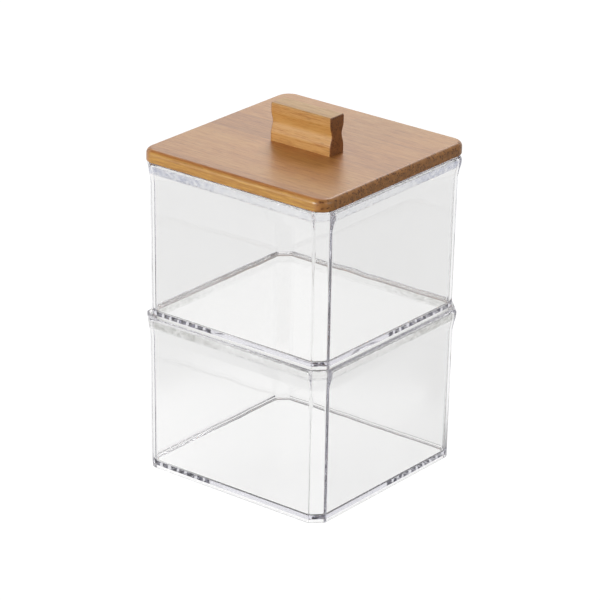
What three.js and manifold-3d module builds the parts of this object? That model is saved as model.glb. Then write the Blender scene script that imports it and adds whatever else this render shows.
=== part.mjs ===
// Two clear stacking trays closed by a bamboo lid with a bar handle.
// Millimetres, +Z up. The origin is the middle of the lower tray's foot, and -Y is the front.

import * as THREE from 'three';
import { mergeVertices } from 'three/addons/utils/BufferGeometryUtils.js';
import Module from 'manifold-3d';

const wasm = await Module();
wasm.setup();

// Tray: a square moulding with cut corners, whose walls lean outwards and end in a wider rim
const trayFootWidth = 97.8;
const wallLean = 0.5;
const rimStep = 1.8;
const trayWallTopWidth = trayFootWidth + 2 * wallLean;
const trayRimWidth = trayWallTopWidth + 2 * rimStep;
const trayHeight = 71.6;
const trayWall = 2.4;
const trayFloor = 1.5;
const baseRecess = 1.4;
const footRound = 1.2;
const floorCove = 1.5;
const trayCornerCut = 5.6;
const cornerEase = 1.2;

// Rim: the wall flares out, ever faster, into a nearly upright band with a shallow socket for the foot above
const rimBandHeight = 3.6;
const rimBandLean = 0.3;
const rimFlareHeight = 6;
const rimFlarePower = 1.2;
const rimCornerCut = 7.35;
const rimEdgeRound = 1.1;
const socketDepth = 0.7;
const socketClearance = 0.4;

// Lid board, which stops just short of the rim's outer edge
const lidSetback = 1.2;
const lidWidth = trayRimWidth - 2 * lidSetback;
const lidThickness = 5.6;
const lidCornerRadius = 7;
const lidTopRound = 2.2;
const lidBottomRound = 0.7;

// Board under the lid that drops into the mouth of the tray with a loose gap all round
const boardGap = 5.75;
const boardWidth = trayWallTopWidth - 2 * trayWall - 2 * boardGap;
const boardThickness = 3;
const boardCornerRadius = 4;
const boardEdgeRound = 0.5;

// Handle: a bar with a shallow hollow along both long faces
const handleLength = 32.6;
const handleWidth = 9.2;
const handleHeight = 17.2;
const handleEdgeRound = 0.6;
const hollowDepth = 1.2;
const hollowLand = 3.6;
const hollowHeight = handleHeight - 2 * hollowLand;
const hollowMiddleHeight = handleHeight / 2;
const handleShiftX = 2;
const handleShiftY = -1.3;

// Countersunk screws, from below into the handle
const screwLength = 18;
const screwShankRadius = 1.5;
const screwHeadRadius = 3;
const screwHeadRim = 0.3;
const screwHeadHeight = 2;
const screwPointLength = 3.4;
const screwInset = 7.3;
const screwHeadSink = 0.2;
const screwClearance = 0.3;
const pilotSpare = 0.7;
const recessLength = 3;
const recessWidth = 0.7;
const recessDepth = 1.1;

// Fineness of the facets
const cornerSteps = 6;
const easeSteps = 3;
const edgeSteps = 3;
const flareSteps = 6;
const roundSides = 24;
const hollowSteps = 8;
const cutOverrun = 1;

// Colours from the object
const clearPlastic = { color: 0xe9edef, roughness: 0.05, metalness: 0, transparent: true, opacity: 0.35 };
const bambooTop = { color: 0xc29f79, roughness: 0.55, metalness: 0 };
const bambooHandle = { color: 0xd0a063, roughness: 0.5, metalness: 0 };
const bambooUnder = { color: 0xc9a677, roughness: 0.6, metalness: 0 };
const zincSteel = { color: 0xb9bbbd, roughness: 0.35, metalness: 1 };

// Angles that step through a quarter turn, for rounded edges
function quarterTurn() {
  return Array.from({ length: edgeSteps + 1 }, (_, step) => step / edgeSteps * Math.PI / 2);
}

// Level outline of a square with cut corners, each bend eased by a small arc, anticlockwise
function cutCornerRing(halfWidth, cornerCut, height) {
  const inner = halfWidth - cornerCut;
  const bends = [
    [halfWidth, -inner], [halfWidth, inner], [inner, halfWidth], [-inner, halfWidth],
    [-halfWidth, inner], [-halfWidth, -inner], [-inner, -halfWidth], [inner, -halfWidth],
  ];
  const turn = Math.PI / 4;
  const toCentre = cornerEase / Math.cos(turn / 2);
  const ring = [];
  bends.forEach(([x, y], bend) => {
    const middle = (bend - 1 / 2) * turn;
    for (let step = 0; step <= easeSteps; step += 1) {
      const angle = (bend - 1 + step / easeSteps) * turn;
      ring.push(new THREE.Vector3(
        x - toCentre * Math.cos(middle) + cornerEase * Math.cos(angle),
        y - toCentre * Math.sin(middle) + cornerEase * Math.sin(angle),
        height));
    }
  });
  return ring;
}

// Level outline of a square with round corners, anticlockwise
function roundCornerRing(halfWidth, radius, height) {
  const inner = halfWidth - radius;
  const centres = [[inner, inner], [-inner, inner], [-inner, -inner], [inner, -inner]];
  const ring = [];
  centres.forEach(([x, y], quarter) => {
    for (let step = 0; step <= cornerSteps; step += 1) {
      const angle = (quarter + step / cornerSteps) * Math.PI / 2;
      ring.push(new THREE.Vector3(x + radius * Math.cos(angle), y + radius * Math.sin(angle), height));
    }
  });
  return ring;
}

// Closed solid through level rings: the first ring is closed from below and the last from above
function loft(rings) {
  const sides = rings[0].length;
  const positions = rings.flat().flatMap((point) => point.toArray());
  const faces = [];
  for (let level = 0; level < rings.length - 1; level += 1) {
    for (let side = 0; side < sides; side += 1) {
      const here = level * sides + side;
      const next = level * sides + (side + 1) % sides;
      faces.push(here, next, next + sides);
      faces.push(here, next + sides, here + sides);
    }
  }
  const last = (rings.length - 1) * sides;
  for (const [a, b, c] of THREE.ShapeUtils.triangulateShape(rings[0], [])) {
    faces.push(a, c, b);
    faces.push(last + a, last + b, last + c);
  }
  const geometry = new THREE.BufferGeometry();
  geometry.setAttribute('position', new THREE.Float32BufferAttribute(positions, 3));
  geometry.setIndex(faces);
  return geometry;
}

// Corner cut of an outline moved inwards by a distance, so that the wall is as thick at the corner
function offsetCut(cornerCut, inwards) {
  return cornerCut - inwards * (2 - Math.SQRT2);
}

// Tray: from the recess under its floor round the foot ring, up the outside, over the rim, into the socket
// and down the inside to the floor
function trayGeometry() {
  const foot = trayFootWidth / 2;
  const wallTop = trayWallTopWidth / 2;
  const rim = trayRimWidth / 2;
  const socket = foot + socketClearance;
  const ledge = trayHeight - socketDepth;
  const bandFoot = trayHeight - rimBandHeight;
  const flareFoot = bandFoot - rimFlareHeight;
  const floorTop = baseRecess + trayFloor;
  const coveTop = floorTop + floorCove;
  const mouth = wallTop - trayWall;
  const lean = (wallTop - foot) / (flareFoot - footRound);
  const innerFoot = foot + lean * (coveTop - footRound) - trayWall;
  const flareStep = rimStep - rimBandLean;
  const rings = [];
  const ringAt = (half, inwards, height) => {
    rings.push(cutCornerRing(half, offsetCut(trayCornerCut, inwards), height));
  };
  ringAt(foot - trayWall, trayWall, baseRecess);
  ringAt(foot - trayWall, trayWall, 0);
  for (const angle of quarterTurn()) {
    const inset = footRound * (1 - Math.sin(angle));
    ringAt(foot - inset, inset, footRound * (1 - Math.cos(angle)));
  }
  for (let step = 0; step <= flareSteps; step += 1) {
    const stepOut = flareStep * (step / flareSteps) ** rimFlarePower;
    const cornerCut = trayCornerCut + (rimCornerCut - trayCornerCut) * stepOut / rimStep;
    rings.push(cutCornerRing(wallTop + stepOut, cornerCut, flareFoot + rimFlareHeight * step / flareSteps));
  }
  for (const angle of quarterTurn()) {
    const inset = rimEdgeRound * (1 - Math.cos(angle));
    const height = trayHeight - rimEdgeRound * (1 - Math.sin(angle));
    rings.push(cutCornerRing(rim - inset, offsetCut(rimCornerCut, inset), height));
  }
  ringAt(socket, foot - socket, trayHeight);
  ringAt(socket, foot - socket, ledge);
  ringAt(mouth, trayWall, ledge);
  for (const angle of quarterTurn()) {
    const inset = floorCove * (1 - Math.cos(angle));
    ringAt(innerFoot - inset, trayWall + inset, floorTop + floorCove * (1 - Math.sin(angle)));
  }
  return loft(rings);
}

// Board with round corners, its lower and upper edges rounded in quarter circles
function boardGeometry(width, thickness, cornerRadius, bottomRound, topRound) {
  const half = width / 2;
  const rings = [];
  for (const angle of quarterTurn()) {
    const inset = bottomRound * (1 - Math.sin(angle));
    const height = bottomRound * (1 - Math.cos(angle));
    rings.push(roundCornerRing(half - inset, cornerRadius - inset, height));
  }
  for (const angle of quarterTurn()) {
    const inset = topRound * (1 - Math.cos(angle));
    const height = thickness - topRound * (1 - Math.sin(angle));
    rings.push(roundCornerRing(half - inset, cornerRadius - inset, height));
  }
  return loft(rings);
}

// Closed geometry to solid: only positions, shared corners merged, empty triangles left out
function toSolid(geometry) {
  const bare = new THREE.BufferGeometry();
  bare.setAttribute('position', geometry.getAttribute('position').clone());
  if (geometry.index) {
    bare.setIndex(geometry.index.clone());
  }
  const merged = mergeVertices(bare);
  const corners = merged.index.array;
  const kept = [];
  for (let face = 0; face < corners.length; face += 3) {
    const [a, b, c] = [corners[face], corners[face + 1], corners[face + 2]];
    if (a !== b && b !== c && c !== a) {
      kept.push(a, b, c);
    }
  }
  return new wasm.Manifold(new wasm.Mesh({
    numProp: 3,
    vertProperties: new Float32Array(merged.getAttribute('position').array),
    triVerts: new Uint32Array(kept),
  }));
}

// Solid back to geometry
function toGeometry(solid) {
  const mesh = solid.getMesh();
  const geometry = new THREE.BufferGeometry();
  geometry.setAttribute('position', new THREE.BufferAttribute(new Float32Array(mesh.vertProperties), 3));
  geometry.setIndex(new THREE.BufferAttribute(new Uint32Array(mesh.triVerts), 1));
  return geometry;
}

// Body of revolution about Z from a profile of [radius, height] pairs, rising from axis to axis
function turned(profile) {
  const points = profile.map(([radius, height]) => new THREE.Vector2(radius, height));
  const geometry = new THREE.LatheGeometry(points, roundSides);
  geometry.rotateX(Math.PI / 2);
  return geometry;
}

// Upright drill of a radius from one height to another
function drill(radius, from, to) {
  return turned([[0, from], [radius, from], [radius, to], [0, to]]);
}

// The screws stand at the same distance from both ends of the handle
const screwPlaces = [-1, 1].map((end) => handleShiftX + end * (handleLength / 2 - screwInset));

// Takes a cutter out of a geometry at each screw
function cutAtScrews(geometry, cutter) {
  let solid = toSolid(geometry);
  for (const x of screwPlaces) {
    const placed = cutter.clone().translate(x, handleShiftY, 0);
    solid = solid.subtract(toSolid(placed));
  }
  return toGeometry(solid);
}

// Lid board with two clear holes
function lidGeometry() {
  const plate = boardGeometry(lidWidth, lidThickness, lidCornerRadius, lidBottomRound, lidTopRound);
  const hole = drill(screwShankRadius + screwClearance, -cutOverrun, lidThickness + cutOverrun);
  return cutAtScrews(plate, hole);
}

// Locating board with two countersunk holes
function locatingBoardGeometry() {
  const board = boardGeometry(
    boardWidth, boardThickness, boardCornerRadius, boardEdgeRound, boardEdgeRound);
  const headRadius = screwHeadRadius + screwClearance;
  const holeRadius = screwShankRadius + screwClearance;
  const top = boardThickness + cutOverrun;
  const countersink = turned([
    [0, -cutOverrun], [headRadius, -cutOverrun], [headRadius, screwHeadSink + screwHeadRim],
    [holeRadius, screwHeadSink + screwHeadHeight], [holeRadius, top], [0, top],
  ]);
  return cutAtScrews(board, countersink);
}

// Half thickness of the handle at a height above the lid
function handleHalfAt(height) {
  const away = (height - hollowMiddleHeight) / (hollowHeight / 2);
  const dip = Math.abs(away) < 1 ? (1 + Math.cos(Math.PI * away)) / 2 : 0;
  return handleWidth / 2 - hollowDepth * dip;
}

// Cross-section of the handle in Y and Z, smaller by an inset near the bar's ends
function handleRing(inset, along) {
  const side = [[handleWidth / 2 - inset, 0]];
  for (let step = 0; step <= hollowSteps; step += 1) {
    const height = hollowMiddleHeight + hollowHeight * (step / hollowSteps - 1 / 2);
    side.push([handleHalfAt(height) - inset, height]);
  }
  for (const angle of quarterTurn()) {
    side.push([
      handleWidth / 2 - inset - handleEdgeRound * (1 - Math.cos(angle)),
      handleHeight - inset - handleEdgeRound * (1 - Math.sin(angle)),
    ]);
  }
  const mirrored = side.map(([y, z]) => [-y, z]).reverse();
  return [...side, ...mirrored].map(([y, z]) => new THREE.Vector3(y, z, along));
}

// Handle: the cross-section swept along X, its end edges rounded in quarter circles
function handleGeometry() {
  const rings = [];
  for (const angle of quarterTurn().reverse()) {
    const along = handleLength / 2 - handleEdgeRound * (1 - Math.sin(angle));
    rings.push(handleRing(handleEdgeRound * (1 - Math.cos(angle)), -along));
  }
  for (const angle of quarterTurn()) {
    const along = handleLength / 2 - handleEdgeRound * (1 - Math.sin(angle));
    rings.push(handleRing(handleEdgeRound * (1 - Math.cos(angle)), along));
  }
  const bar = loft(rings);
  const axes = new THREE.Matrix4().makeBasis(
    new THREE.Vector3(0, 1, 0), new THREE.Vector3(0, 0, 1), new THREE.Vector3(1, 0, 0));
  bar.applyMatrix4(axes);
  bar.translate(handleShiftX, handleShiftY, 0);
  const intoHandle = screwHeadSink + screwLength - boardThickness - lidThickness;
  return cutAtScrews(bar, drill(screwShankRadius + screwClearance, -cutOverrun, intoHandle + pilotSpare));
}

// Screw standing on its head: rim, countersunk cone, shank and point, with a cross recess below
function screwGeometry() {
  const body = turned([
    [0, 0], [screwHeadRadius, 0], [screwHeadRadius, screwHeadRim],
    [screwShankRadius, screwHeadHeight], [screwShankRadius, screwLength - screwPointLength],
    [0, screwLength],
  ]);
  let solid = toSolid(body);
  for (const [x, y] of [[recessLength, recessWidth], [recessWidth, recessLength]]) {
    const slot = new THREE.BoxGeometry(x, y, recessDepth * 2);
    solid = solid.subtract(toSolid(slot));
  }
  return toGeometry(solid);
}

// Named mesh with its own material
function piece(name, geometry, finish) {
  const mesh = new THREE.Mesh(geometry, new THREE.MeshStandardMaterial(finish));
  mesh.name = name;
  return mesh;
}

// Lid assembly, measured from the underside of the lid board
const lidGroup = new THREE.Group();
lidGroup.add(piece('lid_plate', lidGeometry(), bambooTop));
const handle = piece('handle', handleGeometry(), bambooHandle);
handle.position.z = lidThickness;
lidGroup.add(handle);
const board = piece('locating_board', locatingBoardGeometry(), bambooUnder);
board.position.z = -boardThickness;
lidGroup.add(board);
['screw_left', 'screw_right'].forEach((name, index) => {
  const screw = piece(name, screwGeometry(), zincSteel);
  screw.position.set(screwPlaces[index], handleShiftY, screwHeadSink - boardThickness);
  lidGroup.add(screw);
});
lidGroup.position.z = trayHeight;

// The upper tray stands on the ledge in the lower tray's rim, and the lid lies on the upper rim
const upperGroup = new THREE.Group();
upperGroup.add(piece('upper_tray', trayGeometry(), clearPlastic));
upperGroup.add(lidGroup);
upperGroup.position.z = trayHeight - socketDepth;

const organizer = new THREE.Group();
organizer.add(piece('lower_tray', trayGeometry(), clearPlastic));
organizer.add(upperGroup);

export default organizer;
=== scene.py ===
# Looks of the makeup organizer: two clear stacking trays and a bamboo lid with a bar handle.
# Metres, +Z up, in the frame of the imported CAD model. -Y is the front and X runs along the handle.

import math

import bpy
from mathutils import Matrix, Vector

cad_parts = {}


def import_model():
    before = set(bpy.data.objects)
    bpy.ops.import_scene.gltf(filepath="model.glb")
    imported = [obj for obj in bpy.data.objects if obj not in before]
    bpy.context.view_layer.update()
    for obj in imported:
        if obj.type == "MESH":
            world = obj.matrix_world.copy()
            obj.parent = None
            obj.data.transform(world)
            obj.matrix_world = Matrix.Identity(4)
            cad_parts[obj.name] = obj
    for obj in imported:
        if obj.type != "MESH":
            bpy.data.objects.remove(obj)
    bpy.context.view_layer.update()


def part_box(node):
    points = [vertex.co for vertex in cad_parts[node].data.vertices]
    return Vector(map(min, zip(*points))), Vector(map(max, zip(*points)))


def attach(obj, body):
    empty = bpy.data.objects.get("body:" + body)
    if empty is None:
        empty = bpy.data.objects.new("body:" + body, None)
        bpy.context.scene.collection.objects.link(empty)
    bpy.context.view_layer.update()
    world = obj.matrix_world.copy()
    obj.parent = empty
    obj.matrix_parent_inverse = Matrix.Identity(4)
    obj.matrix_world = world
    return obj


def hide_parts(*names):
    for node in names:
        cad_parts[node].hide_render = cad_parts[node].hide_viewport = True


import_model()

MM = 0.001

# Camera, fitted to the photograph's own edges
VIEW_AZIMUTH = math.radians(38.16)
VIEW_ELEVATION = math.radians(22.43)
VIEW_ROLL = math.radians(0.98)
VIEW_DISTANCE = 1.51084
LENS_MM = 208.75
SENSOR_MM = 36
AIM_RIGHT = -1.0 * MM
AIM_HEIGHT = 76.1 * MM
CLIP_NEAR = 0.05
CLIP_FAR = 50

# Tray: how far its walls lean and its rim steps out, and the sizes of its edges
WALL_LEAN = 0.5 * MM
RIM_STEP = 1.8 * MM
TRAY_WALL = 2.4 * MM
TRAY_FLOOR = 1.5 * MM
BASE_RECESS = 1.4 * MM
FOOT_ROUND = 1.2 * MM
FLOOR_COVE = 1.5 * MM
CORNER_CUT = 5.6 * MM
CORNER_EASE = 1.2 * MM
RIM_BAND = 3.6 * MM
BAND_LEAN = 0.3 * MM
RIM_FLARE = 6.0 * MM
FLARE_POWER = 1.2
RIM_CUT = 7.35 * MM
RIM_ROUND = 1.1 * MM
SOCKET_DEPTH = 0.7 * MM
SOCKET_CLEARANCE = 0.4 * MM
SOCKET_ROUND = 0.25 * MM
SEAT_GAP = 0.03 * MM

# Lid, locating board and handle: their rounded edges and the handle's hollows
LID_CORNER = 7.0 * MM
LID_TOP_ROUND = 2.2 * MM
LID_FOOT_ROUND = 0.7 * MM
BOARD_CORNER = 4.0 * MM
BOARD_ROUND = 0.5 * MM
HANDLE_ROUND = 0.6 * MM
HOLLOW_DEPTH = 1.2 * MM
HOLLOW_LAND = 3.6 * MM

# Screws: a countersunk head with a cross recess, a plain shank, and a thread that ends in a point
HEAD_RADIUS = 3.0 * MM
HEAD_RIM = 0.3 * MM
HEAD_HEIGHT = 2.0 * MM
SHANK_RADIUS = 1.5 * MM
CORE_RADIUS = 1.05 * MM
TIP_RADIUS = 0.02 * MM
THREAD_PITCH = 1.35 * MM
THREAD_START = 6.0 * MM
THREAD_SLOPE = 3.2
POINT_LENGTH = 3.4 * MM
RECESS_LENGTH = 3.0 * MM
RECESS_WIDTH = 0.7 * MM
RECESS_DEPTH = 1.1 * MM
RECESS_FOOT_SHARE = 0.55
SCREW_CLEARANCE = 0.3 * MM
PILOT_SPARE = 0.5 * MM
CUT_OVERRUN = 1.0 * MM

# Fineness of the curves, and the bend past which an edge is drawn sharp
EDGE_STEPS = 6
SOCKET_STEPS = 4
EASE_STEPS = 6
FLARE_STEPS = 14
ROUND_STEPS = 14
HOLLOW_STEPS = 28
TURN_STEPS = 48
THREAD_ROWS = 8
SHARP_BEND = math.radians(40)
HANDLE_SHARP_BEND = math.radians(30)
SCREW_SHARP_BEND = math.radians(35)

# Clear plastic: its colours at a surface, in its shadow and with depth, and its slow unevenness
PLASTIC_IOR = 1.58
CLEAR_TINT = (0.998, 0.998, 0.995)
CLEAR_SHADOW = (0.93, 0.93, 0.94)
CLEAR_DEPTH = (0.86, 0.855, 0.90)
CLEAR_DENSITY = 12.0
SWELL_SCALE = (38, 38, 38)
SWELL_STRENGTH = 0.35
SWELL_HEIGHT = 0.6 * MM

# Rippled band round each rim, with painted shade on it: a darker tint, denser toward the left and the right
# corner, yellowish grey on the lower tray and lilac grey on the upper, standing in for the grey and lilac
# that refraction and light led along inside the wall show there
RIM_BAND_BELOW_TOP = 0.7 * MM
RIPPLE_SCALE = (420, 420, 700)
RIPPLE_STRENGTH = 1.0
RIPPLE_HEIGHT = 0.2 * MM
PAINTED_SHADE_CORNER_REACH = (24 * MM, 50 * MM)
PAINTED_SHADE_AT_CORNER = 0.27
PAINTED_SHADE_ELSEWHERE = 0.08
PAINTED_SHADE_MOTTLE_SPAN = (0.3, 0.7)
PAINTED_SHADE_MOTTLE_RANGE = (0.3, 1.7)
LOWER_PAINTED_SHADE_TONE = (0.06, 0.06, 0.0)
UPPER_PAINTED_SHADE_TONE = (0.0, 0.05, 0.3)

# Bamboo patterns: repeats per metre along X, Y and Z, and what each adds to the tone
SLOW_SCALE = (9, 70, 70)
STREAK_SCALE = (20, 560, 560)
FIBRE_SCALE = (110, 1650, 1650)
PORE_SCALE = (190, 1700, 1700)
DOT_SCALE = (60, 950, 950)
MOTTLE_SCALE = (120, 420, 420)
STREAK_SHARE = 0.34
SLOW_SHARE = 0.30
FIBRE_SHARE = 0.68
STRIP_SHARE = 0.12
TONE_MIDDLE = 0.72
SEED_STEP = (0.37, 0.61, 0.23)
STRIP_SHIFT = 0.43

# Bamboo limits: from where to where each pattern, facing or painted side light takes hold, and how strongly
PORE_SPAN = (0.62, 0.76)
PORE_SHARE = 0.5
PORE_DARKNESS = 0.55
PAINTED_SIDE_SPAN = (0.55, 0.9)
END_SPAN = (0.12, 0.4)
DOT_SPAN = (0.12, 0.5)
MOTTLE_SPAN = (0.2, 0.75)
MOTTLE_RANGE = (0.45, 1.0)
ROUGH_SPAN = (0.2, 0.8)
ROUGH_ABOVE = 0.07
ROUGH_BELOW = 0.05
WOOD_IOR = 1.5
COAT_ROUGHNESS = 0.3
RELIEF_FIBRES = 0.6
RELIEF_PORES = 1.2
RELIEF_STRENGTH = 0.25
RELIEF_HEIGHT = 0.05 * MM

# Bamboo pieces: screen colours from deep to pale, the same for end grain, strip width, gloss, and a factor
# of painted light on the faces that look along Y (brighter and yellower on the lid, for its lit front side
# and sheen)
LID_WOOD = {
    "tones": ((160, 92, 36), (190, 123, 56), (207, 149, 78)),
    "end_tones": ((108, 62, 28), (198, 137, 76)),
    "strip": 19 * MM,
    "seed": 3.0,
    "spread": 0.23,
    "rough": 0.4,
    "coat": 0.3,
    # Painted light: makes the lid's faces along Y brighter and yellower, standing in for the lit front side
    # and its sheen
    "painted_side_light": (1.26, 1.72, 1.85),
}
HANDLE_WOOD = {
    "tones": ((156, 94, 38), (190, 136, 68), (206, 158, 92)),
    "end_tones": ((96, 56, 28), (153, 99, 54)),
    "strip": 40 * MM,
    "seed": 11.0,
    "spread": 0.17,
    "rough": 0.42,
    "coat": 0.12,
    "painted_side_light": (1, 1, 1),
}
UNDER_WOOD = {
    "tones": ((166, 120, 74), (194, 152, 104), (212, 176, 128)),
    "end_tones": ((104, 66, 36), (170, 122, 76)),
    "strip": 17 * MM,
    "seed": 7.0,
    "spread": 0.23,
    "rough": 0.55,
    "coat": 0.0,
    "painted_side_light": (1, 1, 1),
}

# Screw steel
STEEL_TONES = ((172, 174, 177), (206, 207, 206))
CLOUD_SCALE = (900, 900, 900)
CLOUD_SPAN = (0.3, 0.7)
MARK_SCALE = (300, 300, 9000)
MARK_SPAN = (0.2, 0.8)
MARK_ROUGHNESS = (0.24, 0.42)
MARK_STRENGTH = 0.2
MARK_HEIGHT = 0.02 * MM

# Surroundings: the floor's own tone, and the levels at which floor and world are seen in the plastic
FLOOR_HALF = 8.0
FLOOR_DROP = 0.05 * MM
FLOOR_WHITE = 0.08
NEAR_GLOW = 0.955
FAR_GLOW = 0.875
GLOW_REACH = (75 * MM, 120 * MM)
BRIGHT_AZIMUTH = math.radians(240)
BRIGHT_SIDE = (math.sin(BRIGHT_AZIMUTH), -math.cos(BRIGHT_AZIMUTH), 0)
SIDE_SPAN = (-0.5, 0.7)
DARK_LEVEL = 0.12
BRIGHT_FLOOR = 0.95
AMBIENT = 0.26
OVERHEAD = 0.3
OVERHEAD_SPAN = (0.45, 0.75)

# Depths past which a ray has been mirrored at least once, or has come through three clear walls
MIRRORED_DEPTH = 0.5
THREE_WALLS_DEPTH = 5.5

# Lamps: azimuth and elevation in degrees, distance and size in metres, power in watts
WHITE = (1, 1, 1)
LAMP_DISTANCE = 4.0
BACK_LAMP = {"azimuth": 200, "elevation": 48, "distance": LAMP_DISTANCE, "size": 1.3, "watts": 47}
FRONT_LAMP = {"azimuth": -14, "elevation": 6, "distance": LAMP_DISTANCE, "size": 1.3, "watts": 128}
RIGHT_LAMP = {"azimuth": 90, "elevation": 14, "distance": LAMP_DISTANCE, "size": 2.2, "watts": 38}
SHEEN_LAMP = {"azimuth": 218, "elevation": 26, "distance": 0.34, "size": 0.22, "watts": 0.135}
SHEEN_COLOUR = (1.0, 0.95, 0.8)

# A ray is led along inside a clear wall or floor by many inner reflections before it comes out
INNER_BOUNCES = 100


# Mesh helpers

def quarter_turn(steps=EDGE_STEPS):
    """Angles that step through a quarter turn."""
    return [step / steps * math.pi / 2 for step in range(steps + 1)]


def cut_corner_ring(half, corner_cut, height):
    """Level square with cut corners, each bend eased by a small arc, anticlockwise."""
    inner = half - corner_cut
    bends = [
        (half, -inner), (half, inner), (inner, half), (-inner, half),
        (-half, inner), (-half, -inner), (-inner, -half), (inner, -half),
    ]
    turn = math.pi / 4
    to_centre = CORNER_EASE / math.cos(turn / 2)
    ring = []
    for bend, (x, y) in enumerate(bends):
        middle = (bend - 1 / 2) * turn
        centre_x = x - to_centre * math.cos(middle)
        centre_y = y - to_centre * math.sin(middle)
        for step in range(EASE_STEPS + 1):
            angle = (bend - 1 + step / EASE_STEPS) * turn
            ring.append((
                centre_x + CORNER_EASE * math.cos(angle),
                centre_y + CORNER_EASE * math.sin(angle),
                height,
            ))
    return ring


def round_corner_ring(half, radius, height):
    """Level square with round corners, anticlockwise."""
    inner = half - radius
    centres = [(inner, inner), (-inner, inner), (-inner, -inner), (inner, -inner)]
    ring = []
    for quarter, (x, y) in enumerate(centres):
        for step in range(ROUND_STEPS + 1):
            angle = (quarter + step / ROUND_STEPS) * math.pi / 2
            ring.append((x + radius * math.cos(angle), y + radius * math.sin(angle), height))
    return ring


def circle_ring(radii, height):
    """Level ring about Z, with a radius for each of its steps."""
    ring = []
    for step, radius in enumerate(radii):
        angle = math.tau * step / TURN_STEPS
        ring.append((radius * math.cos(angle), radius * math.sin(angle), height))
    return ring


def loft(name, rings, sharp_bend=SHARP_BEND):
    """Closed mesh through rings of as many points each, with a flat cap at both ends."""
    sides = len(rings[0])
    points = [point for ring in rings for point in ring]
    faces = [list(reversed(range(sides))), list(range(len(points) - sides, len(points)))]
    for level in range(len(rings) - 1):
        for side in range(sides):
            here = level * sides + side
            following = level * sides + (side + 1) % sides
            faces.append([here, following, following + sides, here + sides])
    mesh = bpy.data.meshes.new(name)
    mesh.from_pydata(points, [], faces)
    mesh.validate()
    piece = bpy.data.objects.new(name, mesh)
    bpy.context.scene.collection.objects.link(piece)
    smooth(piece, sharp_bend)
    return piece


def smooth(piece, sharp_bend):
    """Smooth shading that stays flat on wide faces and breaks at sharp edges."""
    mesh = piece.data
    mesh.polygons.foreach_set("use_smooth", [True] * len(mesh.polygons))
    mesh.set_sharp_from_angle(angle=sharp_bend)
    weighted = piece.modifiers.new("even_normals", "WEIGHTED_NORMAL")
    weighted.keep_sharp = True


def turned(name, start, profile):
    """Closed mesh of revolution, standing on a point, through (radius, height) pairs."""
    piece = loft(name, [circle_ring([radius] * TURN_STEPS, height) for radius, height in profile])
    piece.data.transform(Matrix.Translation(start))
    return piece


def cut(piece, cutters):
    """Takes cutters out of a piece and removes them."""
    for cutter in cutters:
        boolean = piece.modifiers.new("cut", "BOOLEAN")
        boolean.operation = "DIFFERENCE"
        boolean.solver = "EXACT"
        boolean.object = cutter
    evaluated = piece.evaluated_get(bpy.context.evaluated_depsgraph_get())
    mesh = bpy.data.meshes.new_from_object(evaluated)
    piece.modifiers.clear()
    piece.data = mesh
    smooth(piece, SHARP_BEND)
    for cutter in cutters:
        bpy.data.objects.remove(cutter)


# Node helpers

class Nodes:
    """Short calls for building a node tree."""

    def __init__(self, tree):
        self.tree = tree

    def add(self, kind, **inputs):
        node = self.tree.nodes.new(kind)
        for key, value in inputs.items():
            self.feed(node.inputs[key.replace("_", " ")], value)
        return node

    def feed(self, socket, value):
        if isinstance(value, bpy.types.NodeSocket):
            self.tree.links.new(value, socket)
        else:
            socket.default_value = value

    def calculate(self, kind, operation, values):
        node = self.tree.nodes.new(kind)
        node.operation = operation
        for socket, value in zip(node.inputs, values):
            self.feed(socket, value)
        return node

    def math(self, operation, *values):
        return self.calculate("ShaderNodeMath", operation, values).outputs["Value"]

    def vector(self, operation, *values):
        return self.calculate("ShaderNodeVectorMath", operation, values).outputs

    def off(self, first, second):
        return self.math("ABSOLUTE", self.math("SUBTRACT", first, second))

    def stretched(self, place, scale, offset=(0, 0, 0)):
        node = self.add("ShaderNodeMapping", Vector=place, Scale=scale, Location=offset)
        return node.outputs["Vector"]

    def noise(self, place, detail, rough=0.55):
        node = self.add("ShaderNodeTexNoise", Vector=place, Scale=1.0, Detail=detail, Roughness=rough)
        return node.outputs["Fac"]

    def span(self, value, low, high, to_low=0.0, to_high=1.0):
        node = self.add("ShaderNodeMapRange", Value=value)
        node.interpolation_type = "SMOOTHSTEP"
        node.inputs["From Min"].default_value = low
        node.inputs["From Max"].default_value = high
        node.inputs["To Min"].default_value = to_low
        node.inputs["To Max"].default_value = to_high
        return node.outputs["Result"]

    def mix(self, share, first, second, blend="MIX"):
        node = self.tree.nodes.new("ShaderNodeMix")
        node.data_type = "RGBA"
        node.blend_type = blend
        for socket, value in ((0, share), (6, first), (7, second)):
            self.feed(node.inputs[socket], value)
        return node.outputs[2]

    def mix_shader(self, share, first, second):
        node = self.add("ShaderNodeMixShader", Fac=share)
        self.feed(node.inputs[1], first)
        self.feed(node.inputs[2], second)
        return node.outputs["Shader"]

    def ramp(self, value, stops):
        """Colour ramp between (position, colour) stops, its two outer stops first."""
        node = self.add("ShaderNodeValToRGB", Fac=value)
        elements = node.color_ramp.elements
        for index, (position, colour) in enumerate(stops):
            stop = elements[index] if index < len(elements) else elements.new(position)
            stop.position = position
            stop.color = (*colour, 1)
        return node.outputs["Color"]

    def bump(self, height, strength, distance):
        return self.add("ShaderNodeBump", Height=height, Strength=strength, Distance=distance)


class Material(Nodes):
    """Nodes of a new material, with its main shader and its output."""

    def __init__(self, name):
        self.material = bpy.data.materials.new(name)
        self.material.use_nodes = True
        super().__init__(self.material.node_tree)
        self.shader = self.tree.nodes["Principled BSDF"]
        self.output = self.tree.nodes["Material Output"]

    def give(self, **inputs):
        """Feeds the main shader's inputs."""
        for key, value in inputs.items():
            self.feed(self.shader.inputs[key.replace("_", " ")], value)


def rgb(red, green, blue):
    """Linear colour from an 8-bit screen colour."""
    def linear(value):
        share = value / 255
        return share / 12.92 if share <= 0.04045 else ((share + 0.055) / 1.055) ** 2.4
    return (linear(red), linear(green), linear(blue))


# Materials

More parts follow.
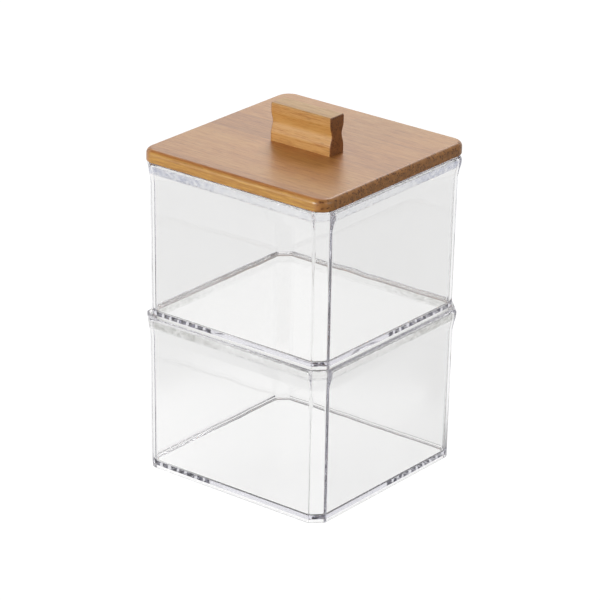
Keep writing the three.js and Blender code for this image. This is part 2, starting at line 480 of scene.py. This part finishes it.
def rim_painted_shade(n, place, node):
    """Share of painted shade on a tray's rim band, and the band's ripple, by place on the tray."""
    parts = n.add("ShaderNodeSeparateXYZ", Vector=place).outputs
    band_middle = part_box(node)[1][2] - RIM_BAND_BELOW_TOP - RIM_BAND / 2
    inside = n.math("LESS_THAN", n.off(parts["Z"], band_middle), RIM_BAND / 2)
    ripple = n.noise(n.stretched(place, RIPPLE_SCALE), detail=3.0)
    off_corner = n.off(parts["X"], parts["Y"])
    # Painted shade: darker toward the left and the right corner, mottled by the ripple
    painted_shade = n.span(off_corner, *PAINTED_SHADE_CORNER_REACH, PAINTED_SHADE_AT_CORNER, PAINTED_SHADE_ELSEWHERE)
    painted_shade = n.math("MULTIPLY", painted_shade, n.span(ripple, *PAINTED_SHADE_MOTTLE_SPAN, *PAINTED_SHADE_MOTTLE_RANGE))
    return n.math("MULTIPLY", painted_shade, inside), n.math("MULTIPLY", ripple, inside)


def clear_plastic(name, node, painted_shade_tone):
    """Water-white moulded plastic: glossy, slightly uneven, with painted shade round the rim, passing
    lamplight.
    """
    n = Material(name)
    place = n.add("ShaderNodeTexCoord").outputs["Object"]
    painted_shade, ripple = rim_painted_shade(n, place, node)
    swell = n.noise(n.stretched(place, SWELL_SCALE), detail=1.0)
    swollen = n.bump(swell, SWELL_STRENGTH, SWELL_HEIGHT)
    rippled = n.bump(ripple, RIPPLE_STRENGTH, RIPPLE_HEIGHT)
    n.feed(rippled.inputs["Normal"], swollen.outputs["Normal"])
    n.give(
        # Painted shade: the rim band's colour is drawn toward a darker tone
        Base_Color=n.mix(painted_shade, (*CLEAR_TINT, 1), (*painted_shade_tone, 1)),
        Roughness=0.0,
        IOR=PLASTIC_IOR,
        Transmission_Weight=1.0,
        Normal=rippled.outputs["Normal"],
    )
    through = n.add("ShaderNodeBsdfTransparent", Color=(*CLEAR_SHADOW, 1))
    path = n.add("ShaderNodeLightPath")
    n.feed(n.output.inputs["Surface"], n.mix_shader(
        path.outputs["Is Shadow Ray"], n.shader.outputs["BSDF"], through.outputs["BSDF"]))
    depth = n.add("ShaderNodeVolumeAbsorption", Color=(*CLEAR_DEPTH, 1), Density=CLEAR_DENSITY)
    n.feed(n.output.inputs["Volume"], depth.outputs["Volume"])
    return n.material


def bamboo_tone(n, place, offset, strip, seed, fibres, streaks):
    """Tone along the fibres: strips side by side along Y, a slow wander, streaks and fibres."""
    across = n.add("ShaderNodeSeparateXYZ", Vector=place).outputs["Y"]
    shifted = n.math("ADD", across, seed * strip * STRIP_SHIFT)
    row = n.math("FLOOR", n.math("DIVIDE", shifted, strip))
    tone_of_strip = n.add("ShaderNodeTexWhiteNoise")
    tone_of_strip.noise_dimensions = "1D"
    n.feed(tone_of_strip.inputs["W"], n.math("ADD", row, seed))
    slow = n.noise(n.stretched(place, SLOW_SCALE, offset), detail=2.0)
    tone = n.math("MULTIPLY", streaks, STREAK_SHARE)
    tone = n.math("MULTIPLY_ADD", slow, SLOW_SHARE, tone)
    tone = n.math("MULTIPLY_ADD", fibres, FIBRE_SHARE, tone)
    return n.math("MULTIPLY_ADD", tone_of_strip.outputs["Value"], STRIP_SHARE, tone)


def end_grain(n, place, offset, deep, pale):
    """Dots of cut fibres, clouded by a coarser mottle."""
    dots = n.add("ShaderNodeTexVoronoi", Vector=n.stretched(place, DOT_SCALE, offset), Scale=1.0)
    mottle = n.noise(n.stretched(place, MOTTLE_SCALE, offset), detail=3.0)
    tone = n.math(
        "MULTIPLY", n.span(dots.outputs["Distance"], *DOT_SPAN), n.span(mottle, *MOTTLE_SPAN, *MOTTLE_RANGE))
    return n.mix(tone, (*deep, 1), (*pale, 1))


def bamboo(name, tones, end_tones, strip, seed, spread, rough, coat, painted_side_light):
    """Laminated bamboo with its fibres along X: strips, streaks, pores, end grain, a thin lacquer, and
    painted light on the faces that look along Y.
    """
    n = Material(name)
    deep, middle, pale = [rgb(*tone) for tone in tones]
    coordinates = n.add("ShaderNodeTexCoord")
    place = coordinates.outputs["Object"]
    offset = [seed * step for step in SEED_STEP]
    streaks = n.noise(n.stretched(place, STREAK_SCALE, offset), detail=5.0, rough=0.66)
    fibres = n.noise(n.stretched(place, FIBRE_SCALE, offset), detail=4.0, rough=0.75)
    tone = bamboo_tone(n, place, offset, strip, seed, fibres, streaks)
    tone = n.span(tone, TONE_MIDDLE - spread, TONE_MIDDLE + spread)
    colour = n.ramp(tone, [(0.0, deep), (1.0, pale), (0.5, middle)])

    # Short dark pores along the fibres
    pores = n.noise(n.stretched(place, PORE_SCALE, offset), detail=1.0)
    pore_share = n.span(pores, *PORE_SPAN, 0.0, PORE_SHARE)
    colour = n.mix(pore_share, colour, (*[part * PORE_DARKNESS for part in middle], 1))

    # Painted light and sheen on the faces that look along Y: their colour is multiplied brighter and
    # yellower, as on the lit front side; end grain on those that look along X
    facing = n.add("ShaderNodeSeparateXYZ", Vector=coordinates.outputs["Normal"]).outputs
    painted_side_share = n.span(n.math("ABSOLUTE", facing["Y"]), *PAINTED_SIDE_SPAN)
    colour = n.mix(painted_side_share, colour, (*painted_side_light, 1), "MULTIPLY")
    end_share = n.span(n.math("ABSOLUTE", facing["X"]), *END_SPAN)
    end_deep, end_pale = [rgb(*tone) for tone in end_tones]
    colour = n.mix(end_share, colour, end_grain(n, place, offset, end_deep, end_pale))

    relief = n.math("MULTIPLY_ADD", fibres, RELIEF_FIBRES, streaks)
    relief = n.math("SUBTRACT", relief, n.math("MULTIPLY", pore_share, RELIEF_PORES))
    n.give(
        Base_Color=colour,
        Roughness=n.span(fibres, *ROUGH_SPAN, rough + ROUGH_ABOVE, rough - ROUGH_BELOW),
        IOR=WOOD_IOR,
        Coat_Weight=coat,
        Coat_Roughness=COAT_ROUGHNESS,
        Normal=n.bump(relief, RELIEF_STRENGTH, RELIEF_HEIGHT).outputs["Normal"],
    )
    return n.material


def zinc_steel():
    """Bright zinc on steel, with the fine turning marks of a screw."""
    n = Material("zinc_steel")
    place = n.add("ShaderNodeTexCoord").outputs["Object"]
    cloud = n.noise(n.stretched(place, CLOUD_SCALE), detail=4.0)
    marks = n.noise(n.stretched(place, MARK_SCALE), detail=2.0)
    n.give(
        Base_Color=n.ramp(cloud, [(at, rgb(*tone)) for at, tone in zip(CLOUD_SPAN, STEEL_TONES)]),
        Roughness=n.span(marks, *MARK_SPAN, *MARK_ROUGHNESS),
        Metallic=1.0,
        Normal=n.bump(marks, MARK_STRENGTH, MARK_HEIGHT).outputs["Normal"],
    )
    return n.material


def dress(piece, material, body, slot, *nodes):
    """Gives a piece its material and its body, and hides the nodes that it stands for; its record slot is
    not used.
    """
    piece.data.materials.clear()
    piece.data.materials.append(material)
    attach(piece, body)
    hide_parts(*nodes)


# Trays

def tray(name, node, lift):
    """Tray from its recessed base round the foot, up the outside, over the rim, into the socket and down."""
    low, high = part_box(node)
    bottom = low[2] + lift
    height = high[2] - low[2] - SEAT_GAP
    rim = (high[0] - low[0]) / 2
    wall_top = rim - RIM_STEP
    foot = wall_top - WALL_LEAN
    ledge = height - SOCKET_DEPTH
    flare_foot = height - RIM_BAND - RIM_FLARE
    lean = WALL_LEAN / (flare_foot - FOOT_ROUND)
    floor_top = BASE_RECESS + TRAY_FLOOR
    inner_foot = foot + lean * (floor_top + FLOOR_COVE - FOOT_ROUND) - TRAY_WALL
    rings = []

    def ring_at(half, inwards, level, corner_cut=CORNER_CUT):
        rings.append(cut_corner_ring(half, corner_cut - inwards * (2 - math.sqrt(2)), bottom + level))

    ring_at(foot - TRAY_WALL, TRAY_WALL, BASE_RECESS)
    for angle in quarter_turn(SOCKET_STEPS):
        inset = TRAY_WALL - SOCKET_ROUND * (1 - math.cos(angle))
        ring_at(foot - inset, inset, SOCKET_ROUND * (1 - math.sin(angle)))
    for angle in quarter_turn():
        inset = FOOT_ROUND * (1 - math.sin(angle))
        ring_at(foot - inset, inset, FOOT_ROUND * (1 - math.cos(angle)))
    for step in range(FLARE_STEPS + 1):
        share = step / FLARE_STEPS
        spread = (RIM_STEP - BAND_LEAN) / RIM_STEP * share ** FLARE_POWER
        corner_cut = CORNER_CUT + (RIM_CUT - CORNER_CUT) * spread
        ring_at(wall_top + RIM_STEP * spread, 0, flare_foot + RIM_FLARE * share, corner_cut)
    for angle in quarter_turn():
        inset = RIM_ROUND * (1 - math.cos(angle))
        ring_at(rim - inset, inset, height - RIM_ROUND * (1 - math.sin(angle)), RIM_CUT)
    for angle in quarter_turn(SOCKET_STEPS):
        outwards = SOCKET_CLEARANCE + SOCKET_ROUND * (1 - math.sin(angle))
        ring_at(foot + outwards, -outwards, height - SOCKET_ROUND * (1 - math.cos(angle)))
    for angle in quarter_turn(SOCKET_STEPS):
        outwards = SOCKET_CLEARANCE - SOCKET_ROUND * (1 - math.cos(angle))
        ring_at(foot + outwards, -outwards, ledge + SOCKET_ROUND * (1 - math.sin(angle)))
    for angle in quarter_turn(SOCKET_STEPS):
        inset = TRAY_WALL - SOCKET_ROUND * (1 - math.sin(angle))
        ring_at(wall_top - inset, inset, ledge - SOCKET_ROUND * (1 - math.cos(angle)))
    for angle in quarter_turn():
        inset = FLOOR_COVE * (1 - math.cos(angle))
        ring_at(inner_foot - inset, TRAY_WALL + inset, floor_top + FLOOR_COVE * (1 - math.sin(angle)))
    return loft(name, rings)


# Lid

def board(name, node, corner, foot_round, top_round):
    """Board with round corners and rounded lower and upper edges."""
    low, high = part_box(node)
    half = (high[0] - low[0]) / 2
    rings = []
    for angle in quarter_turn():
        inset = foot_round * (1 - math.sin(angle))
        level = low[2] + foot_round * (1 - math.cos(angle))
        rings.append(round_corner_ring(half - inset, corner - inset, level))
    for angle in quarter_turn():
        inset = top_round * (1 - math.cos(angle))
        level = high[2] - top_round * (1 - math.sin(angle))
        rings.append(round_corner_ring(half - inset, corner - inset, level))
    return loft(name, rings)


def handle_ring(inset, along, centre_y, half_width, base, height):
    """Cross-section of the handle, with a hollow along both long faces."""
    side = [(half_width - inset, 0)]
    for step in range(HOLLOW_STEPS + 1):
        share = step / HOLLOW_STEPS
        dip = HOLLOW_DEPTH * (1 - math.cos(math.tau * share)) / 2
        side.append((half_width - inset - dip, HOLLOW_LAND + (height - 2 * HOLLOW_LAND) * share))
    for angle in quarter_turn():
        side.append((
            half_width - inset - HANDLE_ROUND * (1 - math.cos(angle)),
            height - inset - HANDLE_ROUND * (1 - math.sin(angle)),
        ))
    outline = side + [(-y, z) for y, z in reversed(side)]
    return [(along, centre_y + y, base + z) for y, z in outline]


def handle_bar(name, node):
    """Handle: its cross-section swept along X, with rounded end edges."""
    low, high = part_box(node)
    centre_y = (low[1] + high[1]) / 2
    half_width = (high[1] - low[1]) / 2
    height = high[2] - low[2]
    rings = []
    for end, inwards, angles in (
        (low[0], 1, list(reversed(quarter_turn()))),
        (high[0], -1, quarter_turn()),
    ):
        for angle in angles:
            inset = HANDLE_ROUND * (1 - math.cos(angle))
            along = end + inwards * HANDLE_ROUND * (1 - math.sin(angle))
            rings.append(handle_ring(inset, along, centre_y, half_width, low[2], height))
    return loft(name, rings, HANDLE_SHARP_BEND)


# Screws

def screw_axis(node):
    """Foot of a screw on its axis, and its length."""
    low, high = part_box(node)
    return Vector(((low[0] + high[0]) / 2, (low[1] + high[1]) / 2, low[2])), high[2] - low[2]


def thread_radius(level, step, taper):
    """Radius of the threaded stretch at a height and a step of the turn."""
    phase = (level / THREAD_PITCH - step / TURN_STEPS) % 1.0
    ridge = max(0.0, 1 - abs(phase - 1 / 2) * THREAD_SLOPE)
    return (CORE_RADIUS + (SHANK_RADIUS - CORE_RADIUS) * ridge) * taper + TIP_RADIUS


def recess_arm(foot, size_x, size_y):
    """Cutter for one arm of the cross recess, narrowing along its length with depth."""
    rings = []
    for level, share in ((-CUT_OVERRUN, 1.0), (0, 1.0), (RECESS_DEPTH, RECESS_FOOT_SHARE)):
        half_x = max(size_x / 2 * share, RECESS_WIDTH / 2)
        half_y = max(size_y / 2 * share, RECESS_WIDTH / 2)
        rings.append([
            (half_x, -half_y, level), (half_x, half_y, level),
            (-half_x, half_y, level), (-half_x, -half_y, level),
        ])
    arm = loft("cutter", rings)
    arm.data.transform(Matrix.Translation(foot))
    return arm


def screw(name, node):
    """Countersunk wood screw: head, shank, a thread that fades out into the point, and a cross recess."""
    foot, length = screw_axis(node)
    plain_part = [
        (0, HEAD_RADIUS - HEAD_RIM / 2), (HEAD_RIM / 2, HEAD_RADIUS), (HEAD_RIM, HEAD_RADIUS),
        (HEAD_HEIGHT, SHANK_RADIUS), (THREAD_START - THREAD_PITCH, SHANK_RADIUS),
    ]
    rings = [circle_ring([radius] * TURN_STEPS, level) for level, radius in plain_part]
    threaded = length - THREAD_START
    rows = int(threaded / THREAD_PITCH * THREAD_ROWS)
    for row in range(rows):
        level = THREAD_START + threaded * row / rows
        taper = min(1.0, (length - level) / POINT_LENGTH)
        rings.append(circle_ring([thread_radius(level, step, taper) for step in range(TURN_STEPS)], level))
    rings.append(circle_ring([TIP_RADIUS] * TURN_STEPS, length))
    piece = loft(name, rings, SCREW_SHARP_BEND)
    piece.data.transform(Matrix.Translation(foot))
    arms = ((RECESS_LENGTH, RECESS_WIDTH), (RECESS_WIDTH, RECESS_LENGTH))
    cut(piece, [recess_arm(foot, *sizes) for sizes in arms])
    return piece


def drill_for(node, boards, sunk_board):
    """Clears a screw's way through boards, with a countersink in the lowest."""
    foot, length = screw_axis(node)
    top = length + PILOT_SPARE
    hole = SHANK_RADIUS + SCREW_CLEARANCE
    sink = HEAD_RADIUS + SCREW_CLEARANCE
    for piece in boards:
        cut(piece, [turned("cutter", foot, [(hole, -CUT_OVERRUN), (hole, top)])])
    countersink = [(sink, -CUT_OVERRUN), (sink, HEAD_RIM), (hole, HEAD_HEIGHT), (hole, top)]
    cut(sunk_board, [turned("cutter", foot, countersink)])


# The object's pieces

steel = zinc_steel()
# Each tray's rim band gets its own tone of painted shade
for tray_name, tray_node, body, tray_lift, tone in (
    ("tray_lower", "lower_tray", "lower", 0, LOWER_PAINTED_SHADE_TONE),
    ("tray_upper", "upper_tray", "upper", SEAT_GAP / 2, UPPER_PAINTED_SHADE_TONE),
):
    plastic = clear_plastic("clear_plastic_" + body, tray_node, tone)
    dress(tray(tray_name, tray_node, tray_lift), plastic, body, "clear_plastic", tray_node)

lid = board("lid_board", "lid_plate", LID_CORNER, LID_FOOT_ROUND, LID_TOP_ROUND)
locator = board("lid_locating_board", "locating_board", BOARD_CORNER, BOARD_ROUND, BOARD_ROUND)
bar = handle_bar("lid_handle", "handle")
for screw_node in ("screw_left", "screw_right"):
    drill_for(screw_node, [lid, bar], locator)
    dress(screw("lid_" + screw_node, screw_node), steel, "lid", "screw_steel", screw_node)

dress(lid, bamboo("bamboo_lid", **LID_WOOD), "lid", "bamboo_lid", "lid_plate")
dress(locator, bamboo("bamboo_underside", **UNDER_WOOD), "lid", "bamboo_underside", "locating_board")
dress(bar, bamboo("bamboo_handle", **HANDLE_WOOD), "lid", "bamboo_handle", "handle")


# Surroundings, bright on one side and dark on the other for rays that the plastic mirrors

def side_level(n, direction, brightest):
    """Level of the surroundings by compass direction."""
    towards = n.vector("DOT_PRODUCT", direction, BRIGHT_SIDE)["Value"]
    return n.span(towards, *SIDE_SPAN, DARK_LEVEL, brightest)


def plain_or_mirrored(n, path, plain, mirrored):
    """Plain level for a ray that went straight through, and the mirrored one for a mirrored ray."""
    bounced = n.math("GREATER_THAN", path["Glossy Depth"], MIRRORED_DEPTH)
    return n.math("MULTIPLY_ADD", bounced, n.math("SUBTRACT", mirrored, plain), plain)


def floor_material():
    """Pale floor that keeps the shadow, is white to the eye and glows where the plastic shows it."""
    n = Material("floor")
    path = n.add("ShaderNodeLightPath").outputs
    place = n.add("ShaderNodeTexCoord").outputs["Object"]
    away = n.vector("LENGTH", place)["Value"]
    glow = n.span(away, *GLOW_REACH, NEAR_GLOW, FAR_GLOW)
    glow = n.math("MAXIMUM", glow, n.math("GREATER_THAN", path["Transmission Depth"], THREE_WALLS_DEPTH))
    direction = n.vector("NORMALIZE", place)["Vector"]
    level = plain_or_mirrored(n, path, glow, side_level(n, direction, BRIGHT_FLOOR))
    level = n.math("MAXIMUM", level, path["Is Camera Ray"])
    seen = n.math("MAXIMUM", path["Is Camera Ray"], path["Is Transmission Ray"])
    seen = n.math("MAXIMUM", seen, path["Is Glossy Ray"])
    shine = n.add("ShaderNodeEmission", Strength=n.math("MULTIPLY", seen, level))
    diffuse = n.add("ShaderNodeBsdfDiffuse", Color=(FLOOR_WHITE, FLOOR_WHITE, FLOOR_WHITE, 1))
    both = n.add("ShaderNodeAddShader")
    n.feed(both.inputs[0], diffuse.outputs["BSDF"])
    n.feed(both.inputs[1], shine.outputs["Emission"])
    n.feed(n.output.inputs["Surface"], both.outputs["Shader"])
    n.tree.nodes.remove(n.shader)
    return n.material


def floor_plane():
    """Wide square floor just below the object."""
    mesh = bpy.data.meshes.new("floor")
    mesh.from_pydata([
        (-FLOOR_HALF, -FLOOR_HALF, -FLOOR_DROP), (FLOOR_HALF, -FLOOR_HALF, -FLOOR_DROP),
        (FLOOR_HALF, FLOOR_HALF, -FLOOR_DROP), (-FLOOR_HALF, FLOOR_HALF, -FLOOR_DROP),
    ], [], [[0, 1, 2, 3]])
    mesh.materials.append(floor_material())
    plane = bpy.data.objects.new("floor", mesh)
    bpy.context.scene.collection.objects.link(plane)
    return plane


def world():
    """World that is white to the eye and in the plastic, darker overhead, and soft on the object."""
    made = bpy.data.worlds.new("studio")
    made.use_nodes = True
    n = Nodes(made.node_tree)
    n.tree.nodes.clear()
    path = n.add("ShaderNodeLightPath").outputs
    direction = n.add("ShaderNodeTexCoord").outputs["Generated"]
    height = n.add("ShaderNodeSeparateXYZ", Vector=direction).outputs["Z"]
    level = plain_or_mirrored(n, path, 1.0, side_level(n, direction, 1.0))
    level = n.math("MULTIPLY", level, n.span(height, *OVERHEAD_SPAN, 1.0, OVERHEAD))

    def background(strength):
        return n.add("ShaderNodeBackground", Color=(*WHITE, 1), Strength=strength).outputs["Background"]

    in_plastic = n.math("MAXIMUM", path["Is Glossy Ray"], path["Is Transmission Ray"])
    shown = n.mix_shader(in_plastic, background(AMBIENT), background(level))
    shown = n.mix_shader(path["Is Camera Ray"], shown, background(1.0))
    output = n.add("ShaderNodeOutputWorld")
    n.feed(output.inputs["Surface"], shown)
    return made


floor = floor_plane()
bpy.context.scene.world = world()


# Lamps

def lamp(name, aim_height, azimuth, elevation, distance, size, watts, colour=WHITE):
    """Square soft lamp that looks at the object's axis, and isn't itself seen through the plastic."""
    data = bpy.data.lights.new(name, "AREA")
    data.shape = "SQUARE"
    data.size = size
    data.energy = watts
    data.color = colour
    light = bpy.data.objects.new(name, data)
    bpy.context.scene.collection.objects.link(light)
    turn = math.radians(azimuth)
    rise = math.radians(elevation)
    away = Vector((math.sin(turn) * math.cos(rise), -math.cos(turn) * math.cos(rise), math.sin(rise)))
    light.location = away * distance + Vector((0, 0, aim_height))
    light.rotation_euler = away.to_track_quat("Z", "Y").to_euler()
    light.visible_transmission = False
    light.visible_camera = False


lamp("back_top", AIM_HEIGHT, **BACK_LAMP)
lamp("front_left", AIM_HEIGHT, **FRONT_LAMP)
lamp("right", AIM_HEIGHT, **RIGHT_LAMP)
lamp("sheen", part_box("lid_plate")[1][2], **SHEEN_LAMP, colour=SHEEN_COLOUR)


# Camera

def photo_camera():
    """Camera at the photograph's angle, rolled about its own axis."""
    back = Vector((
        math.sin(VIEW_AZIMUTH) * math.cos(VIEW_ELEVATION),
        -math.cos(VIEW_AZIMUTH) * math.cos(VIEW_ELEVATION),
        math.sin(VIEW_ELEVATION),
    ))
    level_right = Vector((math.cos(VIEW_AZIMUTH), math.sin(VIEW_AZIMUTH), 0))
    level_up = back.cross(level_right)
    right = level_right * math.cos(VIEW_ROLL) + level_up * math.sin(VIEW_ROLL)
    up = level_up * math.cos(VIEW_ROLL) - level_right * math.sin(VIEW_ROLL)
    place = level_right * AIM_RIGHT + Vector((0, 0, AIM_HEIGHT)) + back * VIEW_DISTANCE
    data = bpy.data.cameras.new("photo_camera")
    data.lens = LENS_MM
    data.sensor_width = SENSOR_MM
    data.clip_start = CLIP_NEAR
    data.clip_end = CLIP_FAR
    camera = bpy.data.objects.new("photo_camera", data)
    bpy.context.scene.collection.objects.link(camera)
    turned_to = Matrix((right, up, back)).transposed().to_4x4()
    camera.matrix_world = Matrix.Translation(place) @ turned_to
    return camera


bpy.context.scene.camera = photo_camera()
bpy.context.scene.view_settings.view_transform = "Standard"
bpy.context.scene.cycles.max_bounces = INNER_BOUNCES
bpy.context.scene.cycles.glossy_bounces = INNER_BOUNCES
bpy.context.scene.cycles.transmission_bounces = INNER_BOUNCES
bpy.context.scene.cycles.transparent_max_bounces = INNER_BOUNCES
